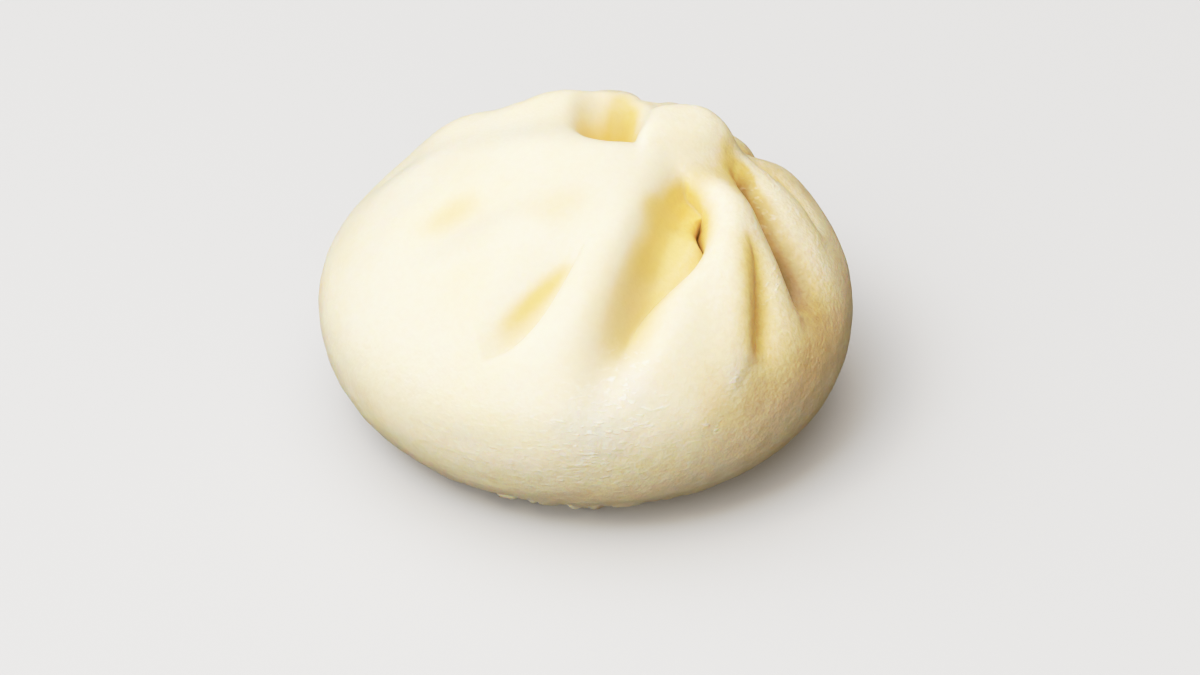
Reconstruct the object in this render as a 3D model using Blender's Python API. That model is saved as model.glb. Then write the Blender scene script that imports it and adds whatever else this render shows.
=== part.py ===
# A steamed bun of plain wheat dough, about 100 mm across: a low dome, gathered at the crown into a twisted
# knot beside a deep pit, with pleats that run down from it, an open front pleat, narrow slits and a flat foot.
import bpy
import numpy as np

for old in list(bpy.data.objects):
    bpy.data.objects.remove(old, do_unlink=True)

millimetre = 0.001

# Driving sizes in millimetres and degrees. Shares are of the belt's radius.
body = {
    "bellyRadius": 50.45,
    "bellyHeight": 21.2,
    "crownHeight": 56.0,
    "crownShift": (5.4, 6.0),
    "fullness": 1.18,
    "beltRounding": 18,
    "oval": 0.009,
    "ovalBearing": -25.0,
    "footShare": 0.715,
    "footTuck": 0.052,
    "tuckBearing": -125.0,
    "underCurve": 1.25,
    "footBlend": 9.0,
    "finestEdge": 2.0,
}
twist = {
    "centre": (15.0, 4.0),
    "sweep": -24.0,
}
fineness = {
    "turns": 122,
    "upperRings": 34,
    "lowerRings": 11,
    "crowding": 0.34,
    "crowdedBearing": -58.0,
}
dough = {
    "colour": (0.871, 0.783, 0.552),
    "roughness": 0.5,
}

# The folds. Each follows a course over the dome: its middle, heading, length, how far it bends and curls,
# and the depths and widths at even steps along it. A negative depth raises a rib.
valleys = [
    # deep pit where the pleats meet
    {"name": "pit", "middle": (4.6, 10.8), "heading": 94, "length": 11.8, "bend": 0, "curl": 0,
     "depths": (36.0, 37.0, 38.0), "widths": (3.8, 3.8, 3.9), "levelsOffAt": 13.0},
    # its shallow left run
    {"name": "pitRun", "middle": (-1.2, 11.0), "heading": 176, "length": 6.0, "bend": 0, "curl": 0,
     "depths": (2.6, 2.0, 0.5), "widths": (4.0, 5.0)},
    # rim behind the pit
    {"name": "backRim", "middle": (-4.8, 19.4), "heading": 9, "length": 19.7, "bend": -50, "curl": 1,
     "depths": (-1.6, -2.2, -1.3), "widths": (5.0, 5.0)},
    # slope behind the knot
    {"name": "backFall", "middle": (28.0, 24.5), "heading": 49, "length": 9.2, "bend": 0, "curl": 0,
     "depths": (2.4, 2.1, 1.8), "widths": (6.5, 7.0)},
    # dip in the back rim
    {"name": "backSag", "middle": (17.5, 17.5), "heading": 8, "length": 7.1, "bend": 0, "curl": 0,
     "depths": (1.5, 1.8, 2.4), "widths": (5.0, 6.0)},
    # full left shoulder
    {"name": "shoulder", "middle": (-26.2, 19.9), "heading": 33, "length": 22.4, "bend": -77, "curl": -25,
     "depths": (-1.5, -2.1, -1.4), "widths": (9.0, 8.0)},
    # rim before the pit
    {"name": "frontRim", "middle": (-4.6, -1.1), "heading": -14, "length": 37.6, "bend": 34, "curl": 6,
     "depths": (-0.5, -1.1, -1.6, -1.8, -1.2), "widths": (6.0, 5.8, 5.0)},
    # twisted knot of dough beside the pit
    {"name": "knot", "middle": (17.6, 5.0), "heading": 5, "length": 16.4, "bend": 4, "curl": 0,
     "depths": (-6.2, -6.6, -7.2), "widths": (5.4, 4.8), "levelsOffAt": 4.2},
    # second roll of the knot
    {"name": "knotTwin", "middle": (20.4, 8.4), "heading": -14, "length": 9.0, "bend": -20, "curl": 0,
     "depths": (-0.8, -1.4, -1.0), "widths": (3.6, 3.4)},
    # hollow neck of the knot
    {"name": "neckPit", "middle": (26.6, -0.6), "heading": -75, "length": 7.0, "bend": 0, "curl": 0,
     "depths": (1.2, 1.8, 1.2), "widths": (4.4, 4.4)},
    # valley behind the knot
    {"name": "knotBack", "middle": (30.7, 17.0), "heading": 54, "length": 13.8, "bend": 35, "curl": -3,
     "depths": (5.0, 5.9, 3.5), "widths": (4.4, 6.0)},
    # broad front rib
    {"name": "ribA", "middle": (4.2, -25.8), "heading": -112, "length": 34.1, "bend": -6, "curl": -5,
     "depths": (-1.0, -1.6, -1.9, -1.8, -0.5), "widths": (6.0, 6.2, 8.0)},
    # big open front pleat
    {"name": "pocket", "middle": (12.0, -28.6), "heading": -113, "length": 41.4, "bend": -11, "curl": 6,
     "depths": (5.6, 4.8, 3.7, 2.7, 0.5), "widths": (4.4, 5.4, 4.6)},
    # deeper line on its left
    {"name": "pocketRun", "middle": (12.4, -30.8), "heading": -108, "length": 24.0, "bend": -10, "curl": 3,
     "depths": (0.2, 0.5, 1.1, 1.5, 1.0), "widths": (3.6, 3.8, 3.6)},
    # its fading lower end
    {"name": "pocketTail", "middle": (2.2, -43.5), "heading": -102, "length": 9.0, "bend": 0, "curl": 0,
     "depths": (0.5, 0.8, 0.3), "widths": (4.5, 5.0)},
    # rib right of the open pleat
    {"name": "ribC", "middle": (27.0, -23.2), "heading": -82, "length": 32.6, "bend": -14, "curl": 12,
     "depths": (-1.8, -2.4, -2.0, -1.7, -0.5), "widths": (3.2, 4.3, 5.0)},
    # thin rope-like rib
    {"name": "ribE", "middle": (31.0, -17.6), "heading": -71, "length": 20.0, "bend": 4, "curl": 0,
     "depths": (-0.6, -1.2, -1.5, -1.5, -0.6), "widths": (3.0, 3.4, 4.0)},
    # right lobe
    {"name": "ribG", "middle": (42.0, -9.0), "heading": -50, "length": 16.0, "bend": -2, "curl": 0,
     "depths": (-0.2, -0.6, -0.3), "widths": (6.0, 8.0)},
    # low left rib
    {"name": "ribL", "middle": (-12.6, -25.5), "heading": -147, "length": 21.3, "bend": -29, "curl": -2,
     "depths": (-0.5, -1.2, -0.5), "widths": (8.0, 9.0)},
    # faint left dimple
    {"name": "dimpleK", "middle": (-22.7, -13.0), "heading": -170, "length": 22.3, "bend": 14, "curl": -9,
     "depths": (0.8, 1.8, 2.3, 2.1, 0.2), "widths": (5.0, 5.6, 7.0)},
    # low right hollow
    {"name": "hollowN", "middle": (31.4, -38.9), "heading": -136, "length": 9.9, "bend": -16, "curl": -8,
     "depths": (0.1, 0.8, 0.1), "widths": (4.0, 4.0)},
    # soft fall to the narrow slit
    {"name": "hollowD", "middle": (30.6, -25.6), "heading": -83, "length": 22.0, "bend": -24, "curl": 5,
     "depths": (0.6, 0.7, 0.7, 0.6, 0.2), "widths": (3.6, 3.6, 3.6)},
    # floor of the groove under the side lobe
    {"name": "grooveFloor", "middle": (34.6, -13.4), "heading": -62, "length": 23.0, "bend": 17, "curl": -15,
     "depths": (3.0, 4.5, 4.0, 4.0, 0.8), "widths": (1.8, 2.2, 2.8)},
    # floor of the narrow slit
    {"name": "slitFloor", "middle": (32.2, -26.6), "heading": -83, "length": 17.5, "bend": -27, "curl": 6,
     "depths": (0.3, 1.1, 1.4, 1.4, 0.3), "widths": (2.0, 2.2, 2.2)},
    # low front swelling
    {"name": "chin", "middle": (-0.3, -46.5), "heading": -29, "length": 8.2, "bend": -51, "curl": -15,
     "depths": (-0.5, -0.8, -0.4), "widths": (7.0, 8.0)},
    # back pleat
    {"name": "hollowP", "middle": (-8.3, 33.5), "heading": 132, "length": 25.8, "bend": 30, "curl": -3,
     "depths": (0.8, 2.9, 4.0, 3.8, 0.3), "widths": (4.0, 4.8, 5.0)},
    # left pleat
    {"name": "hollowQ", "middle": (-32.0, 15.3), "heading": 166, "length": 20.6, "bend": -5, "curl": 2,
     "depths": (0.4, 1.1, 1.7, 1.9, 0.2), "widths": (5.0, 6.1, 6.0)},
    # back rib
    {"name": "ribR", "middle": (17.9, 32.0), "heading": 90, "length": 16.1, "bend": 29, "curl": 4,
     "depths": (-0.6, -1.6, -0.6), "widths": (5.0, 6.0)},
]

# Creases have a sharp bottom: sides and fades scale the width left, right, before and past the course,
# and lean pulls one lip over the crease.
creases = [
    # steep right wall of the pit
    {"name": "pitWall", "middle": (9.6, 6.8), "heading": 92, "length": 11.5, "bend": 24, "curl": 0,
     "depths": (3.0, 6.5, 5.0, 1.5), "widths": (2.6, 2.6),
     "sides": (1.0, 0.22), "fades": (1, 1), "lean": 0},
    # overhanging right lip of the open pleat
    {"name": "pocketLip", "middle": (20.4, -25.9), "heading": -109, "length": 40.6, "bend": -85, "curl": 41,
     "depths": (3.0, 6.9, 4.0, 2.9, 0.4), "widths": (3.4, 3.8, 3.5),
     "sides": (0.3, 1.0), "fades": (1, 1), "lean": 1.2},
    # slot below the lip
    {"name": "pocketSlot", "middle": (25.0, -15.6), "heading": -91, "length": 9.6, "bend": -60, "curl": 5,
     "depths": (0.2, 4.0, 7.0, 4.0, 0.2), "widths": (2.6, 2.8),
     "sides": (0.35, 1.0), "fades": (1, 1), "lean": 0},
    # narrow slit
    {"name": "creaseD", "middle": (31.8, -26.3), "heading": -83, "length": 18.5, "bend": -27, "curl": 6,
     "depths": (0.2, 0.7, 1.1, 1.3, 0.3), "widths": (3.4, 3.8, 3.4),
     "sides": (0.8, 0.4), "fades": (1, 1), "lean": -0.4},
    # groove with a sharp left edge
    {"name": "creaseF", "middle": (33.4, -14.4), "heading": -62, "length": 23.2, "bend": 17, "curl": -15,
     "depths": (7.0, 7.5, 6.0, 5.5, 0.8), "widths": (3.2, 4.0, 4.4),
     "sides": (1.0, 0.25), "fades": (0.7, 1), "lean": -0.8},
    # right shoulder crease
    {"name": "creaseH", "middle": (39.4, 4.0), "heading": -35, "length": 18.9, "bend": -90, "curl": -1,
     "depths": (0.8, 2.4, 2.3, 1.3, 0.2), "widths": (3.0, 3.0, 3.0),
     "sides": (1, 0.5), "fades": (1, 1), "lean": 0},
    # half-moon slit
    {"name": "creaseJ", "middle": (-7.0, -34.7), "heading": -140, "length": 25.4, "bend": -60, "curl": -10,
     "depths": (0.5, 2.3, 3.3, 3.0, 0.3), "widths": (3.2, 4.4, 4.8),
     "sides": (0.25, 1.4), "fades": (1, 1), "lean": 0.8},
    # short step below the slit
    {"name": "creaseM", "middle": (28.6, -38.9), "heading": -118, "length": 6.0, "bend": -30, "curl": 5,
     "depths": (0.1, 0.6, 0.1), "widths": (2.2, 2.4),
     "sides": (1, 0.4), "fades": (1, 1), "lean": 0},
    # right back crease
    {"name": "creaseR", "middle": (35.0, 27.2), "heading": 71, "length": 18.2, "bend": 28, "curl": 5,
     "depths": (1.6, 3.7, 4.8, 3.6, 0.4), "widths": (3.4, 3.8, 4.0),
     "sides": (0.4, 1.2), "fades": (1, 1), "lean": 1.0},
    # back crease
    {"name": "creaseS", "middle": (24.7, 30.5), "heading": 83, "length": 23.6, "bend": 21, "curl": 15,
     "depths": (1.0, 3.2, 4.2, 3.6, 0.3), "widths": (3.4, 3.9, 4.0),
     "sides": (1.2, 0.4), "fades": (1, 1), "lean": 0},
    # back crease
    {"name": "creaseT", "middle": (10.2, 33.9), "heading": 108, "length": 24.0, "bend": 59, "curl": 2,
     "depths": (0.8, 3.7, 5.3, 4.7, 0.4), "widths": (3.6, 4.3, 4.0),
     "sides": (0.4, 1.2), "fades": (1, 1), "lean": 1.0},
    # left back crease
    {"name": "creaseU", "middle": (-22.7, 27.1), "heading": 149, "length": 25.6, "bend": 12, "curl": 6,
     "depths": (0.6, 2.3, 3.4, 3.2, 0.3), "widths": (4.0, 4.5, 4.5),
     "sides": (0.5, 1.2), "fades": (1, 1), "lean": 0},
]


def beltRadius(x, y):
    """Reach of the widest belt, slightly oval."""
    bearing = np.arctan2(y, x)
    swell = body["oval"]*np.cos(2*(bearing-np.radians(body["ovalBearing"])))
    return body["bellyRadius"]*(1+swell)


def domeHeight(x, y):
    """Height of the plain dome above its plan, with the crown shifted off the middle."""
    radius = beltRadius(x, y)
    shiftX, shiftY = body["crownShift"]
    share = np.hypot(x, y)/radius
    for _ in range(14):
        slide = 1-np.clip(share, 0, 1)**1.5
        share = np.hypot(x-shiftX*slide, y-shiftY*slide)/radius
    share = np.clip(share, 0, 1)
    power = 0.5+(body["fullness"]/2-0.5)*(1-share**body["beltRounding"])
    rise = body["crownHeight"]-body["bellyHeight"]
    return body["bellyHeight"]+rise*(1-share**2)**power


def skin(turn, level):
    """The plain bun, turn by turn round the twist: level 0 is the crown, 1 the widest belt, 2 the foot's edge."""
    up = np.clip(level, 0, 1)
    share = np.sin(up*np.pi/2)
    slide = 1-share**1.4
    bearing = turn+np.radians(twist["sweep"])*up
    down = np.clip(level-1, 0, 1)*np.pi/2
    tuck = body["footTuck"]*np.cos(bearing-np.radians(body["tuckBearing"]))
    foot = body["footShare"]-tuck
    under = foot+(1-foot)*np.cos(down)**body["underCurve"]
    reach = beltRadius(np.cos(bearing), np.sin(bearing))*share*np.where(level > 1, under, 1.0)
    x = twist["centre"][0]*slide+reach*np.cos(bearing)
    y = twist["centre"][1]*slide+reach*np.sin(bearing)
    z = np.where(level > 1, body["bellyHeight"]*(1-np.sin(down)), domeHeight(x, y))
    return np.stack([x, y, z], -1)


def outward(turn, level):
    """Unit normal of the plain bun."""
    step = 0.004
    near = np.clip(level, step, 2-step)
    across = skin(turn+step, near)-skin(turn-step, near)
    along = skin(turn, near+step)-skin(turn, near-step)
    normal = np.cross(along, across)
    normal /= np.linalg.norm(normal, axis=-1, keepdims=True)
    top = level < step
    if top.any():
        mean = normal[top].mean(0)
        normal[top] = mean/np.linalg.norm(mean)
    return normal


def evenly(values, share):
    """Smooth run through values set at even steps of share 0 to 1."""
    knots = np.asarray(values, float)
    last = len(knots)-1
    place = np.clip(share, 0, 1)*last
    left = np.minimum(place.astype(int), last-1)
    part = place-left
    padded = np.concatenate([[2*knots[0]-knots[1]], knots, [2*knots[-1]-knots[-2]]])
    a, b, c, d = (padded[left+k] for k in range(4))
    return 0.5*(2*b+(c-a)*part+(2*a-5*b+4*c-d)*part**2+(3*b-a-3*c+d)*part**3)


def course(fold, count=81):
    """Points along the middle of a fold, on the dome. Its heading turns evenly by bend, and in an S by curl."""
    share = np.linspace(0, 1, count)
    turning = fold["bend"]*(share-0.5)+fold["curl"]*(6*share**2-6*share+1)
    angle = np.radians(fold["heading"]+turning)
    step = fold["length"]/(count-1)
    runX = np.concatenate([[0], np.cumsum((np.cos(angle[1:])+np.cos(angle[:-1]))/2*step)])
    runY = np.concatenate([[0], np.cumsum((np.sin(angle[1:])+np.sin(angle[:-1]))/2*step)])
    pathX = fold["middle"][0]+runX-runX[count//2]
    pathY = fold["middle"][1]+runY-runY[count//2]
    return np.stack([pathX, pathY, domeHeight(pathX, pathY)], -1), share


def valleyCut(points, path, share, fold):
    """Depth of a soft valley, or height of a rib where negative: round dents summed along the course."""
    depth = evenly(fold["depths"], share)
    width = evenly(fold["widths"], share)
    stride = np.gradient(np.concatenate([[0], np.cumsum(np.linalg.norm(np.diff(path, axis=0), axis=1))]))
    gap = ((points[:, None, :]-path[None])**2).sum(-1)
    cut = (depth*stride/(width*np.sqrt(np.pi))*np.exp(-gap/width**2)).sum(1)
    if "levelsOffAt" in fold:
        cut = cut/(1+(cut/fold["levelsOffAt"])**4)**0.25
    return cut


def creaseCut(points, path, share, fold):
    """Depth of a crease with a sharp bottom, and the sideways pull that leans one of its lips over it."""
    tangent = np.gradient(path, axis=0)
    tangent /= np.linalg.norm(tangent, axis=1, keepdims=True)
    stride = np.linalg.norm(np.diff(path, axis=0), axis=1).mean()
    nearest = ((points[:, None, :]-path[None])**2).sum(-1).argmin(1)
    ahead = ((points-path[nearest])*tangent[nearest]).sum(1)/stride
    place = np.clip(nearest+np.clip(ahead, -1, 1), 0, len(path)-1)
    left = np.minimum(place.astype(int), len(path)-2)
    part = place-left
    foot = path[left]+(path[left+1]-path[left])*part[:, None]
    along = tangent[left]+(tangent[left+1]-tangent[left])*part[:, None]
    at = place/(len(path)-1)
    depth = evenly(fold["depths"], at)
    width = evenly(fold["widths"], at)
    offset = points-foot
    over = (offset*along).sum(1)
    across = offset-along*over[:, None]
    away = np.linalg.norm(offset, axis=1)+1e-9
    side = np.clip((along[:, 0]*offset[:, 1]-along[:, 1]*offset[:, 0])/away*1.15, -1, 1)
    wideLeft, wideRight = fold["sides"]
    wideAcross = width*(wideRight+(wideLeft-wideRight)*(0.5+0.5*side))
    wideAlong = width*np.where(over < 0, *fold["fades"])
    wideAcross = np.sqrt(wideAcross**2+body["finestEdge"]**2)
    spread = np.sqrt((np.linalg.norm(across, axis=1)/wideAcross)**2+(over/wideAlong)**2)
    cut = depth*np.exp(-1.25*(np.sqrt(spread**2+0.0625)-0.25))
    lip = np.clip(side*np.sign(fold["lean"]), 0, 1)*spread*np.exp(1-spread)
    strength = abs(fold["lean"])*np.clip(depth/max(fold["depths"]), 0, 1)*lip
    return cut, -across/away[:, None]*strength[:, None]


def bunSurface(turn, level):
    """The folded bun, and how deep each point lies below the plain one."""
    base = skin(turn, level)
    flat = base.reshape(-1, 3)
    normal = outward(turn, level).reshape(-1, 3)
    cut = np.zeros(len(flat))
    pull = np.zeros_like(flat)
    for row in valleys+creases:
        path, share = course(row)
        spread = 3.2 if row in valleys else 4.2*max(row["sides"]+row["fades"])
        limit = row["length"]/2+spread*max(row["widths"])
        near = np.hypot(flat[:, 0]-row["middle"][0], flat[:, 1]-row["middle"][1]) < limit
        if row in valleys:
            cut[near] += valleyCut(flat[near], path, share, row)
        else:
            more, moved = creaseCut(flat[near], path, share, row)
            cut[near] += more
            pull[near] += moved
    rise = np.clip(flat[:, 2]/body["footBlend"], 0, 1)
    keep = rise*rise*(3-2*rise)
    moved = flat-normal*(cut*keep)[:, None]+pull*keep[:, None]
    return moved.reshape(base.shape), (cut*keep).reshape(level.shape)


def turnsAround():
    """Turns round the twist, closer together where the pleats are finest."""
    even = np.linspace(0, 2*np.pi, fineness["turns"], endpoint=False)
    return even-fineness["crowding"]*np.sin(even-np.radians(fineness["crowdedBearing"]))


def buildBun():
    upper = np.linspace(0, 1, fineness["upperRings"]+1)[1:]**1.1
    lower = 1+np.linspace(0, 1, fineness["lowerRings"]+1)[1:]
    turn, level = np.meshgrid(turnsAround(), np.concatenate([[0], upper, lower]))
    rings, _ = bunSurface(turn, level)
    crown = rings[0].mean(0)
    rings = rings[1:]
    rings[-1, :, 2] = 0.0
    points = np.concatenate([[crown], rings.reshape(-1, 3)])
    points[:, :2] -= (points[:, :2].min(0)+points[:, :2].max(0))/2
    ringCount, turnCount = rings.shape[:2]
    index = 1+np.arange(ringCount*turnCount).reshape(ringCount, turnCount)
    following = np.roll(index, -1, axis=1)
    faces = [(0, int(a), int(b)) for a, b in zip(index[0], following[0])]
    for ring in range(ringCount-1):
        for k in range(turnCount):
            corners = (index[ring, k], index[ring+1, k], following[ring+1, k], following[ring, k])
            faces.append(tuple(int(corner) for corner in corners))
    faces.append(tuple(int(corner) for corner in index[-1][::-1]))
    mesh = bpy.data.meshes.new("bun")
    mesh.from_pydata((points*millimetre).tolist(), [], faces)
    mesh.validate()
    mesh.shade_smooth()
    mesh.set_sharp_from_angle(angle=np.radians(60))
    return mesh


def doughMaterial():
    material = bpy.data.materials.new("steamed dough")
    material.use_nodes = True
    shader = material.node_tree.nodes["Principled BSDF"]
    shader.inputs["Base Color"].default_value = (*dough["colour"], 1)
    shader.inputs["Roughness"].default_value = dough["roughness"]
    shader.inputs["Metallic"].default_value = 0.0
    return material


bun = bpy.data.objects.new("bun", buildBun())
bun.data.materials.append(doughMaterial())
bpy.context.scene.collection.objects.link(bun)
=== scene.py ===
import math

import bpy
import numpy as np
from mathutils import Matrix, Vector


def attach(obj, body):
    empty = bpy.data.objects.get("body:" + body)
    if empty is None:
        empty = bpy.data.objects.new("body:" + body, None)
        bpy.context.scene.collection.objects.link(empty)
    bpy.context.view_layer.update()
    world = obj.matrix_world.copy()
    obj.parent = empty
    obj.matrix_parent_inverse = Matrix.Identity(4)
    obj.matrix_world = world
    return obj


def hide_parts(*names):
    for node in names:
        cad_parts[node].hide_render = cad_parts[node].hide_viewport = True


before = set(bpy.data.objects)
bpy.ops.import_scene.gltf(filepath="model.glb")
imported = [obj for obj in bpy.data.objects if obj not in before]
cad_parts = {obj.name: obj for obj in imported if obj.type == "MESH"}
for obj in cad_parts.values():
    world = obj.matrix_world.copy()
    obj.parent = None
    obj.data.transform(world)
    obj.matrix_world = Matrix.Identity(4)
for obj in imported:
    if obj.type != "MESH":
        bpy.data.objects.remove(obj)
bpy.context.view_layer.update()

millimetre = 0.001

# Sizes of the bun in millimetres and degrees; shares are of the belt's radius
bunSizes = {
    "bellyRadius": 50.45,
    "bellyHeight": 21.2,
    "crownHeight": 56.0,
    "crownShift": (5.4, 6.0),  # how far the top stands off the middle
    "fullness": 1.18,          # 1 is half an ellipse, more is more pointed
    "beltRounding": 18,        # the higher, the nearer to the belt it turns into an ellipse
    "oval": 0.009,             # share by which the belt is wider one way and narrower the other
    "ovalBearing": -25.0,
    "footShare": 0.715,
    "footTuck": 0.052,         # how much further in the foot stands on one side
    "tuckBearing": -125.0,
    "underCurve": 1.25,
    "footBlend": 9.0,          # the folds fade out below this height
    "twistCentre": (15.0, 4.0),  # where the turns of the mesh meet, in the knot
    "twistSweep": -24.0,       # how far they swing round on the way to the belt
    "turns": 420,              # points round
    "upperRings": 168,         # rings from the crown to the belt
    "lowerRings": 48,          # rings from the belt to the foot's edge
    "footRings": 8,            # rings over the flat foot
    "crowding": 0.30,          # how much closer the turns stand at the pleats
    "crowdedBearing": -58.0,
    "crownCrowding": 1.12,     # how much closer the rings stand at the crown
    # painted shadow: between these depths the slot under the open pleat's lip is painted dark
    "slotShadowDepths": (5.5, 9.5),  # the slot under the open pleat's lip darkens between these depths
}

# The folds follow courses over the dome: middle, heading, length, bend and curl, then depths and widths at
# even steps along each one. A negative depth raises a rib.
valleys = [
    # deep pit where the pleats meet
    {"name": "pit", "middle": (4.6, 10.8), "heading": 94, "length": 11.8, "bend": 0, "curl": 0,
     "depths": (36.0, 37.0, 38.0), "widths": (3.8, 3.8, 3.9), "levelsOffAt": 13.0},
    # its shallow left run
    {"name": "pitRun", "middle": (-1.2, 11.0), "heading": 176, "length": 6.0, "bend": 0, "curl": 0,
     "depths": (2.6, 2.0, 0.5), "widths": (4.0, 5.0)},
    # rim behind the pit
    {"name": "backRim", "middle": (-4.8, 19.4), "heading": 9, "length": 19.7, "bend": -50, "curl": 1,
     "depths": (-1.6, -2.2, -1.3), "widths": (5.0, 5.0)},
    # slope behind the knot
    {"name": "backFall", "middle": (28.0, 24.5), "heading": 49, "length": 9.2, "bend": 0, "curl": 0,
     "depths": (2.4, 2.1, 1.8), "widths": (6.5, 7.0)},
    # dip in the back rim
    {"name": "backSag", "middle": (17.5, 17.5), "heading": 8, "length": 7.1, "bend": 0, "curl": 0,
     "depths": (1.5, 1.8, 2.4), "widths": (5.0, 6.0)},
    # full left shoulder
    {"name": "shoulder", "middle": (-26.2, 19.9), "heading": 33, "length": 22.4, "bend": -77, "curl": -25,
     "depths": (-1.5, -2.1, -1.4), "widths": (9.0, 8.0)},
    # rim before the pit
    {"name": "frontRim", "middle": (-4.6, -1.1), "heading": -14, "length": 37.6, "bend": 34, "curl": 6,
     "depths": (-0.5, -1.1, -1.6, -1.8, -1.2), "widths": (6.0, 5.8, 5.0)},
    # twisted knot of dough beside the pit
    {"name": "knot", "middle": (17.6, 5.0), "heading": 5, "length": 16.4, "bend": 4, "curl": 0,
     "depths": (-6.2, -6.6, -7.2), "widths": (5.4, 4.8), "levelsOffAt": 4.2},
    # second roll of the knot
    {"name": "knotTwin", "middle": (20.4, 8.4), "heading": -14, "length": 9.0, "bend": -20, "curl": 0,
     "depths": (-0.8, -1.4, -1.0), "widths": (3.6, 3.4)},
    # hollow neck of the knot
    {"name": "neckPit", "middle": (26.6, -0.6), "heading": -75, "length": 7.0, "bend": 0, "curl": 0,
     "depths": (1.2, 1.8, 1.2), "widths": (4.4, 4.4)},
    # valley behind the knot
    {"name": "knotBack", "middle": (30.7, 17.0), "heading": 54, "length": 13.8, "bend": 35, "curl": -3,
     "depths": (5.0, 5.9, 3.5), "widths": (4.4, 6.0)},
    # broad front rib
    {"name": "ribA", "middle": (4.2, -25.8), "heading": -112, "length": 34.1, "bend": -6, "curl": -5,
     "depths": (-1.0, -1.6, -1.9, -1.8, -0.5), "widths": (6.0, 6.2, 8.0)},
    # big open front pleat
    {"name": "pocket", "middle": (12.0, -28.6), "heading": -113, "length": 41.4, "bend": -11, "curl": 6,
     "depths": (5.6, 4.8, 3.7, 2.7, 0.5), "widths": (4.4, 5.4, 4.6)},
    # deeper line on its left
    {"name": "pocketRun", "middle": (12.4, -30.8), "heading": -108, "length": 24.0, "bend": -10, "curl": 3,
     "depths": (0.2, 0.5, 1.1, 1.5, 1.0), "widths": (3.6, 3.8, 3.6)},
    # its fading lower end
    {"name": "pocketTail", "middle": (2.2, -43.5), "heading": -102, "length": 9.0, "bend": 0, "curl": 0,
     "depths": (0.5, 0.8, 0.3), "widths": (4.5, 5.0)},
    # rib right of the open pleat
    {"name": "ribC", "middle": (27.0, -23.2), "heading": -82, "length": 32.6, "bend": -14, "curl": 12,
     "depths": (-1.8, -2.4, -2.0, -1.7, -0.5), "widths": (3.2, 4.3, 5.0)},
    # thin rope-like rib
    {"name": "ribE", "middle": (31.0, -17.6), "heading": -71, "length": 20.0, "bend": 4, "curl": 0,
     "depths": (-0.6, -1.2, -1.5, -1.5, -0.6), "widths": (3.0, 3.4, 4.0)},
    # right lobe
    {"name": "ribG", "middle": (42.0, -9.0), "heading": -50, "length": 16.0, "bend": -2, "curl": 0,
     "depths": (-0.2, -0.6, -0.3), "widths": (6.0, 8.0)},
    # low left rib
    {"name": "ribL", "middle": (-12.6, -25.5), "heading": -147, "length": 21.3, "bend": -29, "curl": -2,
     "depths": (-0.5, -1.2, -0.5), "widths": (8.0, 9.0)},
    # faint left dimple
    {"name": "dimpleK", "middle": (-22.7, -13.0), "heading": -170, "length": 22.3, "bend": 14, "curl": -9,
     "depths": (0.8, 1.8, 2.3, 2.1, 0.2), "widths": (5.0, 5.6, 7.0)},
    # low right hollow
    {"name": "hollowN", "middle": (31.4, -38.9), "heading": -136, "length": 9.9, "bend": -16, "curl": -8,
     "depths": (0.1, 0.8, 0.1), "widths": (4.0, 4.0)},
    # soft fall to the narrow slit
    {"name": "hollowD", "middle": (32.0, -26.0), "heading": -83, "length": 22.0, "bend": -24, "curl": 5,
     "depths": (0.6, 0.7, 0.7, 0.6, 0.2), "widths": (3.6, 3.6, 3.6)},
    # floor of the groove under the side lobe
    {"name": "grooveFloor", "middle": (35.3, -13.0), "heading": -62, "length": 23.0, "bend": 17, "curl": -15,
     "depths": (3.0, 4.5, 4.0, 4.0, 0.8), "widths": (1.8, 2.2, 2.8)},
    # floor of the narrow slit
    {"name": "slitFloor", "middle": (32.2, -26.8), "heading": -83, "length": 17.5, "bend": -27, "curl": 6,
     "depths": (0.1, 0.35, 0.8, 1.1, 0.3), "widths": (2.0, 2.2, 2.2)},
    # low front swelling
    {"name": "chin", "middle": (-0.3, -46.5), "heading": -29, "length": 8.2, "bend": -51, "curl": -15,
     "depths": (-0.5, -0.8, -0.4), "widths": (7.0, 8.0)},
    # back pleat
    {"name": "hollowP", "middle": (-8.3, 33.5), "heading": 132, "length": 25.8, "bend": 30, "curl": -3,
     "depths": (0.8, 2.9, 4.0, 3.8, 0.3), "widths": (4.0, 4.8, 5.0)},
    # left pleat
    {"name": "hollowQ", "middle": (-32.0, 15.3), "heading": 166, "length": 20.6, "bend": -5, "curl": 2,
     "depths": (0.4, 1.1, 1.7, 1.9, 0.2), "widths": (5.0, 6.1, 6.0)},
    # back rib
    {"name": "ribR", "middle": (17.9, 32.0), "heading": 90, "length": 16.1, "bend": 29, "curl": 4,
     "depths": (-0.6, -1.6, -0.6), "widths": (5.0, 6.0)},
]

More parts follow.
